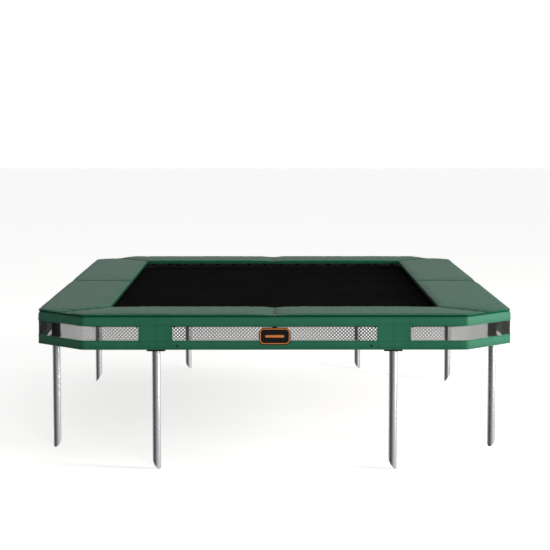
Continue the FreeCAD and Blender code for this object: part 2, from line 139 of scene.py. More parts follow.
world = bpy.data.worlds.new("studio")
world.use_nodes = True
sky = world.node_tree
sky.nodes.clear()
way = add(sky, "TexCoord")
split = add(sky, "SeparateXYZ", links={0: way.outputs["Generated"]})
sideways = add(sky, "MapRange", {"interpolation_type": "SMOOTHSTEP"},
               {"From Min": -0.75, "From Max": 0.85, "To Min": 0.12, "To Max": 0.92},
               {"Value": split.outputs["X"]})
behind = add(sky, "MapRange", {"interpolation_type": "SMOOTHSTEP"},
             {"From Min": -0.2, "From Max": 0.6}, {"Value": split.outputs["Y"]})
round_about = add(sky, "Mix", {"data_type": "FLOAT"}, {3: 1.0},
                  {0: behind, 2: sideways})
below = add(sky, "MapRange", values={"From Min": -0.7, "From Max": -0.3, "To Min": 0.25, "To Max": 1.0},
            links={"Value": split.outputs["Z"]})
above = add(sky, "MapRange", values={"From Min": 0.2, "From Max": 0.7, "To Min": 1.0, "To Max": 0.35},
            links={"Value": split.outputs["Z"]})
height = add(sky, "Math", {"operation": "MULTIPLY"}, links={0: below, 1: above})
glow = add(sky, "Math", {"operation": "MULTIPLY"}, links={0: round_about, 1: height})
seen = add(sky, "LightPath")
strength = add(sky, "Mix", {"data_type": "FLOAT"}, {3: 1.0},
               {0: seen.outputs["Is Camera Ray"], 2: glow})
surround = add(sky, "Background", values={"Color": linear("#ffffff")},
               links={"Strength": strength})
add(sky, "OutputWorld", links={"Surface": surround})
bpy.context.scene.world = world

bm = bmesh.new()
bmesh.ops.create_grid(bm, x_segments=8, y_segments=8, size=45)
floor_paint, tree, shader = new_material("matt_floor_paint", "#f4f4f2", 0.9, specular=0.2)
# Matt floor paint, rolled on: an even white with very faint clouds.
place = add(tree, "TexCoord")
clouds = add(tree, "TexNoise", values={"Scale": 0.8}, links={"Vector": place.outputs["Object"]})
tone = add(tree, "Mix", {"data_type": "RGBA"}, {6: linear("#f2f2f0"), 7: linear("#f6f6f5")},
           {0: clouds})
feed(tree, shader, {"Base Color": tone.outputs[2]})
shader.inputs["Emission Color"].default_value = linear("#ffffff")
shader.inputs["Emission Strength"].default_value = 0.61
floor = new_object("floor", bm, floor_paint)
floor.visible_diffuse = False
floor.visible_glossy = False

# ---- Ground posts ----
# Eight hot-dip galvanised steel tubes, 42.4 mm across with a 2 mm wall, swaged at the top to enter
# their sockets and cut slanting at the foot so that they can be driven into the ground.

post_radius, post_wall = 0.0212, 0.002
shoulder, neck_radius, swage_drop = 0.591, 0.0205, 0.003
tip_rise = 0.06
# The way each slanting tip points, in degrees from +X.
tip_turns = {
    "front_left": -40, "front_right": -40, "right_front": -117, "right_back": -160,
    "back_right": -45, "back_left": -45, "left_back": -160, "left_front": -117,
}

# Galvanised steel: a dull zinc skin of crystals about 9 mm wide, each a slightly different grey.
galvanised, tree, shader = new_material("hot_dip_galvanised_steel", "#b4b8ba", 0.30, metallic=1.0)
place = add(tree, "TexCoord")
crystals = add(tree, "TexVoronoi", values={"Scale": 1000 / 9, "Randomness": 1.0},
               links={"Vector": place.outputs["Object"]})
spread = add(tree, "SeparateXYZ", links={0: crystals.outputs["Color"]})
streaks = add(tree, "Mapping", values={"Scale": (1.0, 1.0, 0.08)},
              links={"Vector": place.outputs["Object"]})
runs = add(tree, "TexNoise", values={"Scale": 70, "Detail": 4}, links={"Vector": streaks})
zinc_tone = add(tree, "MapRange", values={"To Min": 0.0, "To Max": 0.16},
                links={"Value": spread})
tone = add(tree, "Mix", {"data_type": "RGBA"}, {6: linear("#c4c8ca"), 7: linear("#a9adaf")},
           {0: zinc_tone})
worn = add(tree, "Mix", {"data_type": "RGBA", "blend_type": "MULTIPLY"},
           {0: 0.10}, {6: tone.outputs[2], 7: runs})
shine = add(tree, "MapRange", values={"To Min": 0.27, "To Max": 0.29},
            links={"Value": spread.outputs[1]})
rise = add(tree, "Bump", values={"Strength": 0.008, "Distance": 0.0003},
           links={"Height": runs})
feed(tree, shader, {"Base Color": worn.outputs[2], "Roughness": shine,
                    "Normal": rise})


def pick(geom, kind=bmesh.types.BMVert):
    """The items of one kind in the geometry an operator gives back."""
    return [g for g in geom if isinstance(g, kind)]


def cut(bm, spot, way, **more):
    """Cuts a whole mesh with the plane through a spot, square to a direction."""
    bmesh.ops.bisect_plane(bm, geom=bm.verts[:] + bm.edges[:] + bm.faces[:], plane_co=spot, plane_no=way,
                           **more)


def thicken(piece, thickness, offset, smooth=40):
    """Gives a sheet its real thickness in the mesh itself, with crisp rims."""
    wall = piece.modifiers.new("thickness", "SOLIDIFY")
    wall.thickness, wall.offset, wall.use_even_offset = thickness, offset, True
    thin = piece.data
    depsgraph = bpy.context.evaluated_depsgraph_get()
    piece.data = bpy.data.meshes.new_from_object(piece.evaluated_get(depsgraph))
    piece.data.name = thin.name
    piece.modifiers.clear()
    bpy.data.meshes.remove(thin)
    piece.data.set_sharp_from_angle(angle=math.radians(smooth))


for name, turn in tip_turns.items():
    low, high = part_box(f"post_{name}")
    bm = bmesh.new()
    bmesh.ops.create_circle(bm, segments=64, radius=post_radius)
    ring = bm.edges[:]
    for height, radius in ((shoulder, post_radius), (shoulder + swage_drop, neck_radius),
                           (high.z, neck_radius)):
        grown = bmesh.ops.extrude_edge_only(bm, edges=ring)["geom"]
        ring = pick(grown, bmesh.types.BMEdge)
        for v in pick(grown):
            v.co = Vector((v.co.x, v.co.y, 0)).normalized() * radius + Vector((0, 0, height))
    cut(bm, (post_radius, 0, 0), (-tip_rise, 0, -2 * post_radius), clear_outer=True)
    bmesh.ops.recalc_face_normals(bm, faces=bm.faces)
    if bm.faces[:][0].normal.dot(bm.faces[:][0].calc_center_median().xy.to_3d()) < 0:
        bmesh.ops.reverse_faces(bm, faces=bm.faces)
    stand = Matrix.Translation(((low.x + high.x) / 2, (low.y + high.y) / 2, 0))
    bmesh.ops.transform(bm, matrix=stand @ Matrix.Rotation(math.radians(turn), 4, "Z"), verts=bm.verts)
    tube = new_object(f"tube_{name}", bm, galvanised)
    thicken(tube, post_wall, -1)
    edge = tube.modifiers.new("edge", "BEVEL")
    edge.width, edge.segments, edge.limit_method = 0.0004, 2, "ANGLE"
    edge.angle_limit = math.radians(50)
    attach(tube, "frame")
    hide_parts(f"post_{name}")

# ---- Rails and sockets ----
# Bent and straight 42.4 mm steel tube joined in welded tee sockets, powder coated black. The rails
# sit on the solids as they are: only their finish is given here.

# Powder coat: satin black with the fine orange peel of baked powder, about 1.5 mm across.
powder, tree, shader = new_material("black_powder_coat", "#131415", 0.42)
place = add(tree, "TexCoord")
peel = add(tree, "TexNoise", values={"Scale": 1000 / 1.5, "Detail": 2},
           links={"Vector": place.outputs["Object"]})
dust = add(tree, "TexNoise", values={"Scale": 12, "Detail": 5, "Roughness": 0.6},
           links={"Vector": place.outputs["Object"]})
dull = add(tree, "MapRange", values={"To Min": 0.34, "To Max": 0.58}, links={"Value": dust})
tone = add(tree, "Mix", {"data_type": "RGBA"}, {6: linear("#101112"), 7: linear("#1c1d1e")},
           {0: dust})
rise = add(tree, "Bump", values={"Strength": 0.15, "Distance": 0.0002},
           links={"Height": peel})
feed(tree, shader, {"Base Color": tone.outputs[2], "Roughness": dull,
                    "Normal": rise})

# Zinc plate: bright bluish zinc with faint yellow patches and a fine drawn grain.
zinc, tree, shader = new_material("zinc_plated_steel", "#c3c6c8", 0.3, metallic=1.0)
place = add(tree, "TexCoord")
grain = add(tree, "TexNoise", values={"Scale": 300, "Detail": 3}, links={"Vector": place.outputs["Object"]})
tone = add(tree, "Mix", {"data_type": "RGBA"}, {6: linear("#c9ccd0"), 7: linear("#a8a79c")},
           {0: grain})
shine = add(tree, "MapRange", values={"To Min": 0.2, "To Max": 0.45}, links={"Value": grain})
feed(tree, shader, {"Base Color": tone.outputs[2], "Roughness": shine})

for name, node in nodes.items():
    finish = powder if name.startswith(("rail", "socket")) else zinc if name == "frame_screws" else None
    if finish:
        node.data.materials.clear()
        node.data.materials.append(finish)

# ---- Springs ----
# Extension springs of steel, 22 mm across, wound from 3.6 mm wire: 16 on each short
# side, 24 on each long side and 2 fanned across each cut corner. Their dark grey colour is painted
# shade, for the shadow they hang in under the pads. One end hooks into the rail and the
# other takes a ring of the mat.

# Oiled spring steel: drawn wire with a thin film of oil, coloured dark grey as painted shade for the shadow
# under the pads. The mat's wire rings share it.
spring_steel, tree, shader = new_material("shade_darkened_spring_steel", "#3b3d40", 0.38, metallic=1.0)
place = add(tree, "TexCoord")
grain = add(tree, "TexNoise", values={"Scale": 260, "Detail": 3}, links={"Vector": place.outputs["Object"]})
tone = add(tree, "Mix", {"data_type": "RGBA"}, {6: linear("#2c2e30"), 7: linear("#4c4f52")},
           {0: grain})
shine = add(tree, "MapRange", values={"To Min": 0.3, "To Max": 0.5}, links={"Value": grain})
feed(tree, shader, {"Base Color": tone.outputs[2], "Roughness": shine})

half_x, half_y = 1.2, 1.7
# Each side's name, its turn from the front, half its length and its distance from the centre.
four_sides = (("front", 0, half_x, half_y), ("right", 90, half_y, half_x),
              ("back", 180, half_x, half_y), ("left", 270, half_y, half_x))
rail_inset, corner_cut = 0.045, 0.248
rail_height, mat_height = 0.734, 0.728
hook_line, ring_line, mat_line = 0.0702, 0.267, 0.29
# At a cut corner, measured from its outer edge: the mat and the hooks, and the gaps between the two.
corner_mat, corner_mat_gap, corner_hook, corner_hook_gap = 0.245, 0.054, 0.02515, 0.11
ring_reach = 0.024
spring_pitch, coil_length, coil_radius, coil_wire = 0.109, 0.135, 0.011, 0.0018
spring_length = math.hypot(ring_line - hook_line, rail_height - mat_height)
slack = (spring_length - coil_length) / 2
turns, steps = 30, 9


def wire(points, radius, cyclic=False, fine=4):
    """A bent round wire through guide points, as a mesh."""
    line = bpy.data.curves.new("line", "CURVE")
    line.dimensions = "3D"
    line.bevel_depth, line.bevel_resolution, line.resolution_u = radius, 1, fine
    line.use_fill_caps = not cyclic
    spline = line.splines.new("NURBS")
    spline.points.add(len(points) - 1)
    for point, spot in zip(spline.points, points):
        point.co = (*spot, 1)
    spline.order_u, spline.use_endpoint_u, spline.use_cyclic_u = 3, not cyclic, cyclic
    thing = bpy.data.objects.new("line", line)
    mesh = bpy.data.meshes.new_from_object(thing)
    bpy.data.objects.remove(thing)
    return mesh


one_spring = bmesh.new()
bmesh.ops.create_circle(one_spring, segments=5, radius=coil_wire)
bmesh.ops.transform(one_spring, verts=one_spring.verts, matrix=Matrix.Translation(
    (slack + coil_wire, 0, coil_radius - coil_wire)) @ Matrix.Rotation(math.radians(90), 4, "X"))
bmesh.ops.spin(one_spring, geom=one_spring.verts[:] + one_spring.edges[:], cent=(0, 0, 0), axis=(1, 0, 0),
               angle=2 * math.pi * turns, steps=turns * steps, use_merge=False,
               dvec=((coil_length - 2 * coil_wire) / (turns * steps), 0, 0))
bmesh.ops.holes_fill(one_spring, edges=[e for e in one_spring.edges if e.is_boundary], sides=0)
bmesh.ops.recalc_face_normals(one_spring, faces=one_spring.faces)
lift = coil_radius - coil_wire
far = slack + coil_length
rail_hook = wire([(slack + 0.004, 0, lift), (slack - 0.001, 0, lift), (slack - 0.008, 0, 0.001),
                  (0.006, 0, 0),
                  (-0.006, 0, 0), (-0.010, 0, 0.002), (-0.011, 0, 0.010)], coil_wire)
ring_hook = wire([(far - 0.004, 0, lift), (far + 0.002, 0, lift), (far + 0.010, 0, 0.005),
                  (spring_length - 0.002, 0, 0.0042), (spring_length + 0.006, 0, 0.0036),
                  (spring_length + 0.008, 0, -0.001), (spring_length + 0.004, 0, -0.0042),
                  (spring_length - 0.004, 0, -0.004)], coil_wire)
for part in (rail_hook, ring_hook):
    one_spring.from_mesh(part)
spring_mesh = bpy.data.meshes.new("one_spring")
one_spring.to_mesh(spring_mesh)
one_spring.free()


def pour(fresh, bm):
    """Adds a finished small mesh to a larger one and frees it."""
    scratch = bpy.data.meshes.new("scratch")
    fresh.to_mesh(scratch)
    fresh.free()
    bm.from_mesh(scratch)
    bpy.data.meshes.remove(scratch)


def laid(start, end):
    """The matrix that lays the one spring from start to end."""
    run = end - start
    turned = run.to_track_quat("X", "Z").to_matrix().to_4x4()
    return Matrix.Translation(start) @ turned @ Matrix.Diagonal((run.length / spring_length, 1, 1, 1))


spring_sets = {}
ring_places = []
for side, turn, across, depth in four_sides:
    facing = Matrix.Rotation(math.radians(turn), 4, "Z")
    count = {half_x: 8, half_y: 12}[across]
    straight = []
    for step in range(-count, count):
        x = (step + 0.5) * spring_pitch
        start = facing @ Vector((x, hook_line - depth, rail_height))
        end = facing @ Vector((x, ring_line - depth, mat_height))
        straight.append((start, end))
        ring_places.append((facing @ Vector((x, mat_line - depth, mat_height)), facing @ Vector((0, -1, 0))))
    spring_sets[f"springs_{side}"] = (straight, f"springs_{side}")
    corner = []
    out, along = Vector((-1, -1, 0)).normalized(), Vector((1, -1, 0)).normalized()
    middle = (corner_cut + math.sqrt(2) * rail_inset) / 2
    centre = Vector((middle - across, middle - depth, 0))
    for step in (-0.5, 0.5):
        edge_spot = centre - out * corner_mat + along * step * corner_mat_gap
        hook_spot = centre - out * corner_hook + along * step * corner_hook_gap
        fan = (hook_spot - edge_spot).normalized()
        start = facing @ (hook_spot + Vector((0, 0, rail_height)))
        end = facing @ (edge_spot + fan * ring_reach + Vector((0, 0, mat_height)))
        corner.append((start, end))
        ring_places.append((facing @ (edge_spot + Vector((0, 0, mat_height))), facing @ out))
    spring_sets[f"corner_springs_{side}"] = (corner, f"springs_{side}")

for name, (runs_of_springs, node) in spring_sets.items():
    bm = bmesh.new()
    for start, end in runs_of_springs:
        fresh = bmesh.new()
        fresh.from_mesh(spring_mesh)
        bmesh.ops.transform(fresh, matrix=laid(start, end), verts=fresh.verts)
        pour(fresh, bm)
    group = new_object(f"coils_{name}", bm, spring_steel, smooth=60)
    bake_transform(group)
    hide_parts(node)

# ---- Mat ----
# Black woven polypropylene, pulled flat by the springs. A 45 mm webbing is sewn round its edge with
# three rows of thread, and short webbing tabs hold a triangular wire ring for every spring.

mat_x, mat_y = 0.91, 1.41
mat_leg = 0.0779
mat_thick, webbing_thick, hem_lift = 0.0016, 0.0015, 0.0015
hem_width, roll_width, roll_rise = 0.045, 0.012, 0.0065


def wave(tree, source, length):
    """A sine along a coordinate, once in every length of metres."""
    run = add(tree, "Math", {"operation": "MULTIPLY"}, {1: 2 * math.pi / length}, {0: source})
    return add(tree, "Math", {"operation": "SINE"}, links={0: run})


# Woven polypropylene: flat tapes 3 mm wide over and under each other, near black and dull. The
# tapes are drawn twice as wide as the real 1.5 mm so that they show.
weave_black, tree, shader = new_material("woven_polypropylene", "#0b0b0c", 0.8, specular=0.0)
place = add(tree, "TexCoord")
split = add(tree, "SeparateXYZ", links={0: place.outputs["Object"]})
over = [wave(tree, split.outputs[axis], 0.006) for axis in ("X", "Y")]
crossing = add(tree, "Math", {"operation": "MULTIPLY"}, links={0: over[0], 1: over[1]})
rise = add(tree, "Bump", values={"Strength": 0.35, "Distance": 0.0006},
           links={"Height": crossing})
patches = add(tree, "TexNoise", values={"Scale": 3.5, "Detail": 5}, links={"Vector": place.outputs["Object"]})
tone = add(tree, "Mix", {"data_type": "RGBA"}, {6: linear("#121213"), 7: linear("#1e1e20")},
           {0: patches})
dull = add(tree, "MapRange", values={"To Min": 0.62, "To Max": 0.85}, links={"Value": patches})
feed(tree, shader, {"Base Color": tone.outputs[2], "Roughness": dull,
                    "Normal": rise})

# Polyester webbing: ribs 2 mm apart across the band and rows of thread, read from the band's own
# map, whose x runs along the band and y across it, in metres.
webbing, tree, shader = new_material("polyester_webbing", "#101011", 0.65, specular=0.25)
place = add(tree, "UVMap", {"uv_map": "band"})
split = add(tree, "SeparateXYZ", links={0: place})
ribs = wave(tree, split.outputs["X"], 0.002)
beat = wave(tree, split.outputs["X"], 0.006)
dashes = add(tree, "Math", {"operation": "GREATER_THAN"}, {1: -0.6}, {0: beat})
rows = None
for height in (0.006, 0.0225, 0.039):
    near = add(tree, "Math", {"operation": "COMPARE"}, {1: height, 2: 0.0007}, {0: split.outputs["Y"]})
    if rows:
        near = add(tree, "Math", {"operation": "MAXIMUM"}, links={0: rows, 1: near})
    rows = near
thread = add(tree, "Math", {"operation": "MULTIPLY"}, links={0: rows, 1: dashes})
tone = add(tree, "Mix", {"data_type": "RGBA"}, {6: linear("#0f0f10"), 7: linear("#55565a")},
           {0: thread})
level = add(tree, "Math", {"operation": "MULTIPLY_ADD"}, {1: 0.3},
            {0: ribs, 2: thread})
rise = add(tree, "Bump", values={"Strength": 0.5, "Distance": 0.0006}, links={"Height": level})
feed(tree, shader, {"Base Color": tone.outputs[2], "Normal": rise})


def grid(bm, centre, wide, tall, columns=1, rows=1):
    """A flat rectangle of faces round a centre; returns its corner points."""
    made = bmesh.ops.create_grid(bm, x_segments=columns, y_segments=rows, size=0.5)["verts"]
    bmesh.ops.transform(bm, verts=made,
                        matrix=Matrix.Translation(centre) @ Matrix.Diagonal((wide, tall, 1, 1)))
    return made


bm = bmesh.new()
grid(bm, (0, 0, 0), 2 * mat_x, 2 * mat_y, 52, 80)
for sx in (-1, 1):
    for sy in (-1, 1):
        cut(bm, (sx * mat_x, sy * (mat_y - mat_leg), 0), (sx, sy, 0), clear_outer=True)
bmesh.ops.remove_doubles(bm, verts=bm.verts, dist=0.003)
for v in bm.verts:
    # A stretched mat still sinks a hair in the middle and ripples between the rings.
    rim = min(mat_x - abs(v.co.x), mat_y - abs(v.co.y))
    v.co.z = mat_height + 0.0008 - 0.003 * min(rim / 0.6, 1) + 0.0008 * noise.noise(v.co * 5)
mat_area = sum(f.calc_area() for f in bm.faces)
mat_sheet = new_object("jumping_mat", bm, weave_black)
thicken(mat_sheet, mat_thick, -1)
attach(mat_sheet, "mat")
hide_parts("mat")

bm = bmesh.new()
grid(bm, (0, 0, mat_height + hem_lift), 2 * mat_x, 2 * mat_y)
bmesh.ops.bevel(bm, geom=bm.verts[:], offset=mat_leg, offset_type="OFFSET", affect="VERTICES", segments=1,
                profile=0.5, material=-1)
roll = bmesh.ops.inset_region(bm, faces=bm.faces[:], thickness=roll_width, use_boundary=True)["faces"]
for v in bm.verts:
    # The mat's edge is rolled under the webbing, so the outermost strip stands higher.
    if all(f in roll for f in v.link_faces) and mat_x - abs(v.co.x) < 0.2 or v.is_boundary:
        v.co.z += roll_rise
middle = [f for f in bm.faces if f not in roll]
band_inner = bmesh.ops.inset_region(bm, faces=middle, thickness=hem_width - roll_width,
                                    use_boundary=True)["faces"]
bmesh.ops.delete(bm, geom=[f for f in bm.faces if f not in roll and f not in band_inner], context="FACES")
bmesh.ops.subdivide_edges(bm, edges=[e for e in bm.edges if e.calc_length() > 0.3], cuts=30,
                          use_grid_fill=True)
band = bm.loops.layers.uv.new("band")
for f in bm.faces:
    spot = f.calc_center_median()
    slope = Vector((1 if abs(spot.x) > mat_x - 0.06 else 0, 1 if abs(spot.y) > mat_y - 0.06 else 0))
    if slope.length > 1:
        slope = Vector((1, 1)) if abs(spot.x) + abs(spot.y) > mat_x + mat_y - mat_leg - 0.064 else slope
    out = Vector((slope.x * math.copysign(1, spot.x), slope.y * math.copysign(1, spot.y))).normalized()
    edge_at = {1: mat_x if slope.x else mat_y,
               2: (mat_x + mat_y - mat_leg) / math.sqrt(2)}[int(slope.x + slope.y)]
    for loop in f.loops:
        flat = loop.vert.co.xy
        loop[band].uv = (flat.dot(Vector((-out.y, out.x))), edge_at - flat.dot(out))
hem = new_object("mat_edge_webbing", bm, webbing)
thicken(hem, webbing_thick, 1)
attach(hem, "mat")
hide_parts("mat_hem")

ring_mesh = wire([(-0.016, 0.002, 0), (0.016, 0.002, 0), (0.013, 0.008, 0), (0.004, 0.019, 0),
                  (0.002, 0.021, 0),
                  (-0.002, 0.021, 0), (-0.004, 0.019, 0), (-0.013, 0.008, 0)], 0.002, cyclic=True, fine=3)
wires, tabs = bmesh.new(), bmesh.new()
band = tabs.loops.layers.uv.new("band")
tab_line = [(-0.030, 0.0040), (-0.004, 0.0042), (0.0035, 0.0036), (0.0062, 0.0), (0.0035, -0.0036),
            (-0.004, -0.0030), (-0.026, -0.0026)]
for spot, out in ring_places:
    along = Vector((-out.y, out.x, 0))
    lay = Matrix.Translation(spot) @ Matrix((along, out, (0, 0, 1))).transposed().to_4x4()
    fresh = bmesh.new()
    fresh.from_mesh(ring_mesh)
    bmesh.ops.transform(fresh, matrix=lay, verts=fresh.verts)
    pour(fresh, wires)
    # The tab folds round the ring's base and is sewn to the mat above and below.
    start = [tabs.verts.new(lay @ Vector((x, *tab_line[0]))) for x in (-0.0125, 0.0125)]
    edges = [tabs.edges.new(start)]
    for before, after in zip(tab_line, tab_line[1:]):
        grown = bmesh.ops.extrude_edge_only(tabs, edges=edges)["geom"]
        edges = pick(grown, bmesh.types.BMEdge)
        shift = lay.to_3x3() @ Vector((0, after[0] - before[0], after[1] - before[1]))
        bmesh.ops.translate(tabs, vec=shift, verts=pick(grown))
        for loop in (l for f in pick(grown, bmesh.types.BMFace) for l in f.loops):
            local = lay.inverted() @ loop.vert.co
            loop[band].uv = (local.y, local.x + 0.0225)
rings = new_object("mat_wire_rings", wires, spring_steel, smooth=60)
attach(rings, "mat")
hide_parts("mat_rings")
ring_tabs = new_object("mat_ring_tabs", tabs, webbing)
thicken(ring_tabs, 0.0012, 0)
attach(ring_tabs, "mat")

# ---- Edge pads ----
# Green PVC tarpaulin covers over two foam slabs on each side, mitred through the cut corners. The
# cover is crowned by the foam, dips at the sewn joins and turns down over the skirt at a seam.

pad_top, pad_low, pad_width = 0.779, 0.7595, 0.353
seam_height = 0.765
inner_x, inner_y = half_x - pad_width, half_y - pad_width
diagonal = corner_cut / 2
cell = 0.012
# How far the cover sinks, and over what distance: along a join, right at it, and at the top's rim.
join_sag, sag_reach, join_dip, dip_reach, rim_drop, rim_reach = 0.004, 0.22, 0.003, 0.012, 0.0015, 0.004
draw_in, swell_cap, top_margin = 0.006, 0.004, 0.001


def pvc(name, roughness, specular, cloud_scale, tones):
    """The green sheet: clouds of tone, scuffs and the faint relief of the scrim inside."""
    made, tree, shader = new_material(name, "#27644c", roughness, specular=specular)
    place = add(tree, "TexCoord")
    split = add(tree, "SeparateXYZ", links={0: place.outputs["Object"]})
    threads = []
    for axis in ("X", "Y"):
        slant = add(tree, "Math", {"operation": "ADD"},
                    links={0: split.outputs[axis], 1: split.outputs["Z"]})
        threads.append(wave(tree, slant, 0.0025))
    scrim = add(tree, "Math", {"operation": "MULTIPLY"},
                links={0: threads[0], 1: threads[1]})
    clouds = add(tree, "TexNoise", values={"Scale": cloud_scale, "Detail": 4},
                 links={"Vector": place.outputs["Object"]})
    scuffs = add(tree, "TexNoise", values={"Scale": 45, "Detail": 6, "Roughness": 0.65},
                 links={"Vector": place.outputs["Object"]})
    tone = add(tree, "Mix", {"data_type": "RGBA"}, {6: linear(tones[0]), 7: linear(tones[1])},
               {0: clouds})
    level = add(tree, "Math", {"operation": "MULTIPLY_ADD"}, {1: 0.25},
                {0: scrim, 2: scuffs})
    rise = add(tree, "Bump", values={"Strength": 0.18, "Distance": 0.0008},
               links={"Height": level})
    feed(tree, shader, {"Normal": rise})
    return made, tree, shader, split, tone, scuffs


# PVC tarpaulin: a woven scrim under a smooth green skin, so a soft satin gloss over faint threads
# 2.5 mm apart, drawn a little coarser than the real 1 mm. Sewn rows run 6 mm from every join, and the
# fold that turns down to the seam gets a painted shade: a deeper green band for the shadow under the
# overhanging top edge.
tarpaulin, tree, shader, split, tone, scuffs = pvc("green_pvc_tarpaulin", 0.42, 0.055, 2.6,
                                                   ("#245e47", "#2a6a51"))
seam_gap = add(tree, "Attribute", {"attribute_name": "from_seam"})
row = add(tree, "Math", {"operation": "COMPARE"}, {1: 0.006, 2: 0.0008}, {0: seam_gap.outputs["Fac"]})
walk = add(tree, "Math", {"operation": "ADD"}, links={0: split.outputs["X"], 1: split.outputs["Y"]})
beat = wave(tree, walk, 0.007)
dashes = add(tree, "Math", {"operation": "GREATER_THAN"}, {1: -0.5}, {0: beat})
thread = add(tree, "Math", {"operation": "MULTIPLY"}, links={0: row, 1: dashes})
grime = add(tree, "MapRange", values={"From Min": 0.0, "From Max": 0.005, "To Min": 0.25, "To Max": 0.0},
            links={"Value": seam_gap.outputs["Fac"]})
soiled = add(tree, "Mix", {"data_type": "RGBA"}, {7: linear("#14402e")},
             {0: grime, 6: tone.outputs[2]})
sewn = add(tree, "Mix", {"data_type": "RGBA"}, {7: linear("#184a36")},
           {0: thread, 6: soiled.outputs[2]})
# Painted shade: the wall between the seam and the top edge is mixed to a deeper green, standing for the
# shadow under the overhanging top edge.
fold = add(tree, "Math", {"operation": "COMPARE"}, {1: seam_height + 0.004, 2: 0.0055},
           {0: split.outputs["Z"]})
fold_painted_shade = add(tree, "Mix", {"data_type": "RGBA"}, {7: linear("#0c4a33")},
             {0: fold, 6: sewn.outputs[2]})
gloss = add(tree, "MapRange", values={"To Min": 0.34, "To Max": 0.56}, links={"Value": scuffs})
feed(tree, shader, {"Base Color": fold_painted_shade.outputs[2], "Roughness": gloss})


def edges_of(outline):
    """Each side of an outline as a point and the direction that leaves the shape."""
    for a, b in zip(outline, outline[1:] + outline[:1]):
        run = (b - a).normalized()
        yield a, Vector((run.y, -run.x, 0))


def slab(outline, joins, outer):
    """A closed foam slab in its cover, and the points held still along its rims, its sewn joins and its
    underside.
    """
    bm = bmesh.new()
    reach = Vector([max(p[i] for p in outline) - min(p[i] for p in outline) for i in (0, 1)])
    centre = Vector([(max(p[i] for p in outline) + min(p[i] for p in outline)) / 2 for i in (0, 1)])
    grid(bm, (centre.x, centre.y, pad_low), reach.x, reach.y, round(reach.x / cell), round(reach.y / cell))
    for spot, out in edges_of(outline):
        for depth in (0, 0.003, 0.007, 0.013):
            cut(bm, spot - out * depth, out, clear_outer=depth == 0)
    bmesh.ops.remove_doubles(bm, verts=bm.verts, dist=0.0012)
    raised = bmesh.ops.extrude_face_region(bm, geom=bm.faces[:])["geom"]
    top = pad_top - top_margin
    bmesh.ops.translate(bm, vec=(0, 0, top - pad_low), verts=pick(raised))
    for height in (seam_height, seam_height + 0.004, top - 0.003):
        cut(bm, (0, 0, height), (0, 0, 1))
    bmesh.ops.recalc_face_normals(bm, faces=bm.faces)
    held = []
    sides = list(edges_of(outline))
    for v in bm.verts:
        depths = [max((spot - v.co).dot(out), 0) for spot, out in sides]
        from_join = min(depths[i] for i in joins)
        from_rim = min(d for i, d in enumerate(depths) if i not in joins)
        share = (v.co.z - pad_low) / (top - pad_low)
        sag = join_sag * max(0, 1 - from_join / sag_reach) ** 2
        sag += join_dip * max(0, 1 - from_join / dip_reach) ** 2
        v.co.z -= share ** 3 * (sag + rim_drop * max(0, 1 - from_rim / rim_reach) ** 2)
        # The outer wall is drawn in by the seam, so that the top edge overhangs it.
        drawn = min(1, max(0, (top - 0.003 - v.co.z) / (top - 0.003 - seam_height)))
        for k in outer:
            v.co -= sides[k][1] * draw_in * drawn * max(0, 1 - depths[k] / rim_reach)
        free_wall = seam_height + 0.001 < v.co.z < top - 0.004
        if from_rim < 0.0004 and not free_wall or share < 0.01 or from_join < 0.0004:
            held.append(v.index)
    return bm, held


# The right half of the front slab and the near half of the right one: the outline, its sewn ends and
# its outer walls.
half_slabs = (
    ([(0, -inner_y), (0, -half_y + 0.002), (half_x - corner_cut - 0.001, -half_y + 0.002),
      (half_x - diagonal - 0.0015, -half_y + diagonal + 0.0015), (inner_x, -inner_y)], (0, 3), (1, 2)),
    ([(inner_x, 0), (inner_x, -inner_y), (half_x - diagonal - 0.0015, -half_y + diagonal + 0.0015),
      (half_x - 0.002, -half_y + corner_cut + 0.001), (half_x - 0.002, 0)], (1, 4), (2, 3)),
)
trial = []
for ends, joins, outer in half_slabs:
    outline = [Vector((*p, 0)) for p in ends]
    bm, held = slab(outline, joins, outer)
    piece = new_object("slab", bm, tarpaulin)
    group = piece.vertex_groups.new(name="sewn")
    group.add(held, 1.0, "REPLACE")
    trial.append((piece, outline, joins))

settled = []
# The covers are blown up by the foam for twenty short steps, and the swell is capped at 4 mm.
for piece, _, _ in trial:
    cloth = piece.modifiers.new("cloth", "CLOTH").settings
    cloth.quality, cloth.mass = 5, 0.3
    cloth.tension_stiffness = cloth.compression_stiffness = 60
    cloth.shear_stiffness, cloth.bending_stiffness = 20, 2
    cloth.use_pressure, cloth.uniform_pressure_force = True, 4
    cloth.shrink_min = -0.012
    cloth.vertex_group_mass = "sewn"
    cloth.effector_weights.gravity = 0
for step in range(1, 21):
    bpy.context.scene.frame_set(step)
depsgraph = bpy.context.evaluated_depsgraph_get()
for piece, _, _ in trial:
    blown = piece.evaluated_get(depsgraph).data
    settled.append([v.co.copy() for v in blown.vertices])
for piece, _, _ in trial:
    piece.modifiers.clear()
bpy.context.scene.frame_set(1)
halves = []
for i, (piece, outline, joins) in enumerate(trial):
    bm = bmesh.new()
    bm.from_mesh(piece.data)
    bm.verts.ensure_lookup_table()
    if settled:
        for v, spot in zip(bm.verts, settled[i]):
            move = spot - v.co
            if move.length > 1e-9:
                v.co += move.normalized() * swell_cap * math.tanh(move.length / swell_cap)
    halves.append((bm, outline, joins))
    bpy.data.objects.remove(piece)

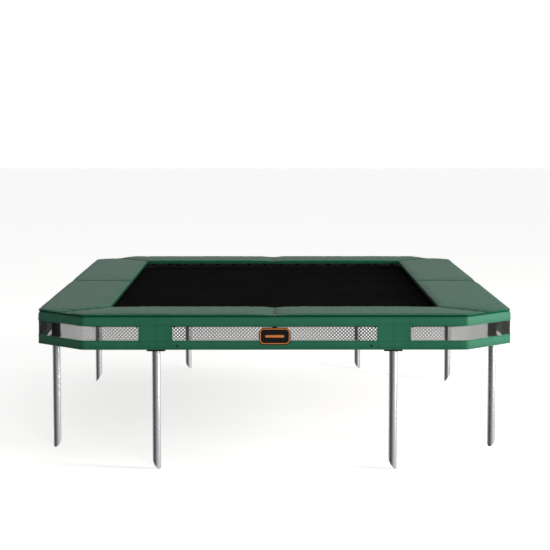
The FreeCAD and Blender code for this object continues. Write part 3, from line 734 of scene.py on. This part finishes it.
for side, which, mirror in (("front", 0, (1, 1)), ("back", 0, (1, -1)), ("right", 1, (1, 1)),
                            ("left", 1, (-1, 1))):
    half, outline, joins = halves[which]
    bm = bmesh.new()
    bm.verts.layers.float.new("from_seam")
    for other in (1, -1):
        fresh = half.copy()
        flip = (mirror[0] * (other if which == 0 else 1), mirror[1] * (other if which == 1 else 1))
        layer = fresh.verts.layers.float.get("from_seam") or fresh.verts.layers.float.new("from_seam")
        sides = list(edges_of(outline))
        for v in fresh.verts:
            v[layer] = min(abs((sides[k][0] - v.co).dot(sides[k][1])) for k in joins)
        meeting = [f for f in fresh.faces if all(abs(v.co[which]) < 0.0003 for v in f.verts)]
        bmesh.ops.delete(fresh, geom=meeting, context="FACES_ONLY")
        bmesh.ops.transform(fresh, matrix=Matrix.Diagonal((*flip, 1, 1)), verts=fresh.verts)
        if flip[0] * flip[1] < 0:
            bmesh.ops.reverse_faces(fresh, faces=fresh.faces)
        for v in fresh.verts:
            # Small dents that differ from pad to pad.
            if v.co.z > pad_low + 0.012:
                v.co.z += 0.0012 * noise.noise(v.co * 4) + 0.0004 * noise.noise(v.co * 15)
        pour(fresh, bm)
    bmesh.ops.remove_doubles(bm, verts=[v for v in bm.verts if abs(v.co[which]) < 0.0006], dist=0.0006)
    cushion = new_object(f"cushion_{side}", bm, tarpaulin, smooth=60)
    finer = cushion.modifiers.new("finer", "SUBSURF")
    finer.levels = finer.render_levels = 1
    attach(cushion, "cover")
    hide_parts(f"pad_cover_{side}", f"foam_{side}")
for half, _, _ in halves:
    half.free()

# ---- Skirt ----
# A hanging wall of the same tarpaulin in eight pieces, sewn under the pads' seam and to each other
# at the posts. Window edges and the foot are hemmed, and each post panel has a sewn rectangle.

skirt_low, skirt_high = 0.604, 0.765
window_low, window_high = 0.651, 0.721
post_along, panel_half = 0.612, 0.083
net_overlap, skirt_wall = 0.008, 0.0015
fold_back, foot_fold = 0.012, 0.016

# The skirt's sheet: the same satin PVC, with sewn rows read from its own map, whose x is the
# distance from the nearest post and y the height above the foot, in metres.
skirt_sheet, tree, shader, split, tone, scuffs = pvc("green_pvc_skirt", 0.45, 0.15, 3.1,
                                                     ("#27644c", "#2d7157"))
sewing = add(tree, "UVMap", {"uv_map": "sewing"})
along_up = add(tree, "SeparateXYZ", links={0: sewing})
beats = []
for axis in ("X", "Y"):
    beat = wave(tree, along_up.outputs[axis], 0.007)
    beats.append(add(tree, "Math", {"operation": "GREATER_THAN"}, {1: -0.5}, {0: beat}))
rows = None
for axis, beat, spots in (
    ("Y", beats[0], (0.011, window_low - skirt_low - 0.006, window_high - skirt_low + 0.006, 0.155)),
    ("X", beats[1], (0.006, panel_half - 0.006)),
):
    for spot in spots:
        near = add(tree, "Math", {"operation": "COMPARE"}, {1: spot, 2: 0.0008},
                   {0: along_up.outputs[axis]})
        near = add(tree, "Math", {"operation": "MULTIPLY"}, links={0: near, 1: beat})
        if rows:
            near = add(tree, "Math", {"operation": "MAXIMUM"}, links={0: rows, 1: near})
        rows = near
foot = add(tree, "MapRange", values={"From Min": 0.0, "From Max": 0.03, "To Min": 0.35, "To Max": 0.0},
           links={"Value": along_up.outputs["Y"]})
soiled = add(tree, "Mix", {"data_type": "RGBA"}, {7: linear("#1a4c39")},
             {0: foot, 6: tone.outputs[2]})
sewn = add(tree, "Mix", {"data_type": "RGBA"}, {7: linear("#164230")},
           {0: rows, 6: soiled.outputs[2]})
gloss = add(tree, "MapRange", values={"To Min": 0.36, "To Max": 0.6}, links={"Value": scuffs})
feed(tree, shader, {"Base Color": sewn.outputs[2], "Roughness": gloss})


def on_path(path, distance, fold=0.010):
    """A point along a run of straight stretches, with its folds eased over a short length."""
    spots = []
    for shift in (-1, -0.5, 0, 0.5, 1):
        left = distance + shift * fold
        for a, b in zip(path, path[1:]):
            run = (b - a).length
            if left <= run or b is path[-1]:
                spots.append(a + (b - a) * (left / run))
                break
            left -= run
    return sum(spots, Vector((0, 0))) / len(spots)


def hang(bm, path, inward):
    """Bends a flat strip, x along and y up, round a path seen from above."""
    for v in bm.verts:
        spot = on_path(path, v.co.x)
        ahead = on_path(path, v.co.x + 0.004) - on_path(path, v.co.x - 0.004)
        side_way = Vector((ahead.y, -ahead.x)).normalized()
        depth = v.co.z - inward
        v.co = Vector((spot.x + side_way.x * depth, spot.y + side_way.y * depth, v.co.y))


walls = {}
for side, turn, across, depth in four_sides:
    facing = Matrix.Rotation(math.radians(turn), 2)
    corner = {"front": "front_left", "right": "front_right", "back": "back_right", "left": "back_left"}[side]
    straight = [(post_along - across, -depth), (across - post_along, -depth)]
    bend = [(-across, post_along - depth), (-across, corner_cut - depth), (corner_cut - across, -depth),
            (post_along - across, -depth)]
    walls[side] = [facing @ Vector(p) for p in straight]
    walls[f"corner_{corner}"] = [facing @ Vector(p) for p in bend]

for name, path in walls.items():
    length = sum((b - a).length for a, b in zip(path, path[1:]))
    open_from, open_to = panel_half, length - panel_half
    bm = bmesh.new()
    grid(bm, (length / 2, (skirt_low + skirt_high) / 2, 0), length, skirt_high - skirt_low,
         round(length / cell), 13)
    cuts = [((x, 0, 0), (1, 0, 0)) for x in (open_from - fold_back, open_from, open_to,
                                             open_to + fold_back, length / 2)]
    cuts += [((0, y, 0), (0, 1, 0)) for y in (skirt_low + foot_fold, window_low - fold_back, window_low,
                                              window_high, window_high + fold_back)]
    for spot, way in cuts:
        cut(bm, spot, way, dist=0.0015)
    for f in bm.faces[:]:
        middle = f.calc_center_median()
        if open_from < middle.x < open_to and window_low < middle.y < window_high:
            bm.faces.remove(f)
    bmesh.ops.delete(bm, geom=[v for v in bm.verts if not v.link_faces], context="VERTS")
    flat_area = sum(f.calc_area() for f in bm.faces)
    sewing = bm.loops.layers.uv.new("sewing")
    for f in bm.faces:
        for loop in f.loops:
            loop[sewing].uv = (min(loop.vert.co.x, length - loop.vert.co.x), loop.vert.co.y - skirt_low)
    folds = [(path[1] - path[0]).length, length - (path[-1] - path[-2]).length] if len(path) > 2 else []
    for v in bm.verts:
        u, z = v.co.x, v.co.y
        hemmed = fold_back + 0.0005
        hem_here = z < skirt_low + foot_fold + 0.0005 or (
            open_from - hemmed < u < open_to + hemmed and window_low - hemmed < z < window_high + hemmed)
        slackness = 0.3 + 0.7 * (skirt_high - z) / (skirt_high - skirt_low)
        ripple = 0.0016 * noise.noise(Vector((u * 6, z * 5, len(name))))
        ripple += 0.0007 * noise.noise(Vector((u * 22, z * 9, 3)))
        still = min(1, u / 0.06, (length - u) / 0.06)
        if name == "front":
            # The plaque's rivets hold the sheet flat behind it.
            still = min(still, max(0, abs(u - length / 2) - 0.09) / 0.05)
        pull = sum(math.exp(-((u - fold) / 0.05) ** 2) for fold in folds)
        tuck = max(0, (z - skirt_high + 0.012) / 0.012) ** 2
        v.co.z = still * slackness * ripple + (0.0005 if hem_here else 0) - 0.004 * tuck
        v.co.z += 0.0022 * pull * noise.noise(Vector((u * 45, z * 7, 9)))
    hang(bm, path, 0.0004)
    valance = new_object(f"valance_{name}", bm, skirt_sheet, smooth=50)
    thicken(valance, skirt_wall, -1)
    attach(valance, "cover")
    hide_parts(f"skirt_{name}")

# ---- Window nets ----
# Coated polyester net with square meshes set on the diagonal, 17.5 mm across the points and strands
# 4.5 mm wide, sewn behind the skirt's windows.

mesh_step, strand = 0.0175, 0.0045

# Coated polyester yarn: black, softly glossy, with the twist of the yarn as a fine bump.
yarn, tree, shader = new_material("coated_polyester_net", "#131414", 0.6, specular=0.15)
place = add(tree, "TexCoord")
twist = add(tree, "TexNoise", values={"Scale": 900, "Detail": 3}, links={"Vector": place.outputs["Object"]})
tone = add(tree, "Mix", {"data_type": "RGBA"}, {6: linear("#0c0d0d"), 7: linear("#1c1d1d")},
           {0: twist})
rise = add(tree, "Bump", values={"Strength": 0.4, "Distance": 0.0004}, links={"Height": twist})
feed(tree, shader, {"Base Color": tone.outputs[2], "Normal": rise})

for name, path in walls.items():
    length = sum((b - a).length for a, b in zip(path, path[1:]))
    start = panel_half - net_overlap
    wide, tall = length - 2 * start, window_high - window_low + 2 * net_overlap
    bm = bmesh.new()
    grid(bm, (length / 2, (window_low + window_high) / 2, 0), wide, tall,
         round(wide / mesh_step), round(tall / mesh_step))
    square = [e for e in bm.edges if not e.is_boundary]
    bmesh.ops.poke(bm, faces=bm.faces[:])
    bmesh.ops.dissolve_edges(bm, edges=square, use_verts=False)
    meshes = bmesh.ops.inset_individual(bm, faces=bm.faces[:], thickness=strand / 2, use_even_offset=True)
    rims = set(meshes["faces"])
    bmesh.ops.delete(bm, geom=[f for f in bm.faces if f not in rims], context="FACES")
    flat_area = sum(f.calc_area() for f in bm.faces)
    hang(bm, path, skirt_wall + 0.0012)
    net = new_object(f"netting_{name}", bm, yarn)
    thicken(net, 0.001, 0)
    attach(net, "cover")
    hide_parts(f"net_{name}")

# ---- Press studs ----
# Black press studs in the skirt's lower band, 108 mm inside each post, where straps snap on.

bm = bmesh.new()
for side in ("front", "right", "back", "left"):
    path = walls[side]
    length = (path[1] - path[0]).length
    for reach in (0.108, length - 0.108):
        spot = on_path(path, reach)
        ahead = (path[1] - path[0]).normalized()
        out = Vector((ahead.y, -ahead.x, 0))
        lay = Matrix.Translation((spot.x, spot.y,
                                  skirt_low + 0.020)) @ out.to_track_quat("Z", "Y").to_matrix().to_4x4()
        fresh = bmesh.new()
        bmesh.ops.create_circle(fresh, segments=20, radius=0.0065, cap_ends=True)
        for radius, height in ((0.0060, 0.0016), (0.0040, 0.0022), (0.0034, 0.0018), (0.0015, 0.0026)):
            crown = bmesh.ops.extrude_face_region(fresh, geom=[max(fresh.faces,
                                                                   key=lambda f: f.calc_center_median().z)])
            for v in pick(crown["geom"]):
                v.co = Vector((v.co.x, v.co.y, 0)).normalized() * radius + Vector((0, 0, height))
        bmesh.ops.transform(fresh, matrix=lay, verts=fresh.verts)
        pour(fresh, bm)
bmesh.ops.recalc_face_normals(bm, faces=bm.faces)
studs = new_object("press_studs", bm, powder)
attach(studs, "cover")

# ---- Badge ----
# A plain moulded plaque riveted to the middle of the front skirt: black, with a raised orange border
# and one plain bar.

low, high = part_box("badge")
wide, tall = high.x - low.x, high.z - low.z

# Moulded ABS: satin black with a fine spark-eroded grain.
plaque_black, tree, shader = new_material("moulded_black_abs", "#080808", 0.4, specular=0.25)
place = add(tree, "TexCoord")
grain = add(tree, "TexNoise", values={"Scale": 1400, "Detail": 2}, links={"Vector": place.outputs["Object"]})
rise = add(tree, "Bump", values={"Strength": 0.2, "Distance": 0.0001}, links={"Height": grain})
feed(tree, shader, {"Normal": rise})

# Orange ink, printed on the raised line and bar: dull, and a little patchy with wear.
print_orange, tree, shader = new_material("printed_orange_ink", "#d67832", 0.5)
place = add(tree, "TexCoord")
wear = add(tree, "TexNoise", values={"Scale": 160, "Detail": 4}, links={"Vector": place.outputs["Object"]})
tone = add(tree, "Mix", {"data_type": "RGBA"}, {6: linear("#c96d2a"), 7: linear("#e0863e")},
           {0: wear})
feed(tree, shader, {"Base Color": tone.outputs[2]})

bm = bmesh.new()
grid(bm, (0, 0, 0), wide, tall)
bmesh.ops.bevel(bm, geom=bm.verts[:], offset=0.026, affect="VERTICES", segments=10, profile=0.5, material=-1)
face = bm.faces[:][0]
bmesh.ops.solidify(bm, geom=[face], thickness=0.0012)
face = max(bm.faces, key=lambda f: f.calc_center_median().z)
for thickness, depth, ink in ((0.0045, 0.0, 0), (0.0006, 0.0006, 1), (0.0035, 0.0, 1), (0.0006, -0.0006, 1)):
    rim = bmesh.ops.inset_region(bm, faces=[face], thickness=thickness, depth=depth)["faces"]
    for f in rim:
        f.material_index = ink
bar = grid(bm, (0, 0, face.calc_center_median().z), 0.094, 0.012)
bmesh.ops.bevel(bm, geom=bar, offset=0.0055, affect="VERTICES", segments=5, profile=0.5, material=-1)
bar_face = [f for f in bm.faces if len(f.verts) == 24 and abs(f.calc_area() - 0.094 * 0.012) < 0.0002]
raised = bmesh.ops.extrude_face_region(bm, geom=bar_face)["geom"]
bmesh.ops.translate(bm, vec=(0, 0, 0.0005), verts=pick(raised))
for f in bm.faces:
    middle = f.calc_center_median()
    if abs(middle.x) < 0.0475 and abs(middle.y) < 0.0065 and f.calc_area() < 0.0015:
        f.material_index = 1
bmesh.ops.recalc_face_normals(bm, faces=bm.faces)
lay = Matrix.Translation(((low.x + high.x) / 2, high.y - 0.0002, (low.z + high.z) / 2))
bmesh.ops.transform(bm, matrix=lay @ Matrix.Rotation(math.radians(90), 4, "X"), verts=bm.verts)
plaque = new_object("plaque", bm, plaque_black, print_orange)
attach(plaque, "cover")
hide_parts("badge")

# ---- Cover tabs ----
# Short webbing tabs sewn under the pads, between the springs, that keep the cover centred.

tab_wide, tab_drop, tab_top, tab_inset = 0.030, 0.060, 0.746, 0.0901
bm = bmesh.new()
band = bm.loops.layers.uv.new("band")
for side, turn, across, depth in four_sides:
    facing = Matrix.Rotation(math.radians(turn), 4, "Z")
    pitches = 6 if across == half_x else 8
    for x in (-pitches * spring_pitch, 0, pitches * spring_pitch):
        made = bmesh.ops.create_grid(bm, x_segments=4, y_segments=8, size=0.5)["verts"]
        for v in made:
            local = v.co.copy()
            drop = 0.5 - local.y
            v.co = facing @ Vector((x + local.x * tab_wide, tab_inset - depth + 0.0008 * math.sin(drop * 5),
                                    tab_top - drop * tab_drop))
            for loop in v.link_loops:
                loop[band].uv = (drop * tab_drop, local.x * tab_wide + 0.0225)
cover_tabs = new_object("cover_webbing_tabs", bm, webbing)
thicken(cover_tabs, 0.0016, 0)
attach(cover_tabs, "cover")
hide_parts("cover_tabs")

for mesh in (spring_mesh, rail_hook, ring_hook, ring_mesh):
    bpy.data.meshes.remove(mesh)
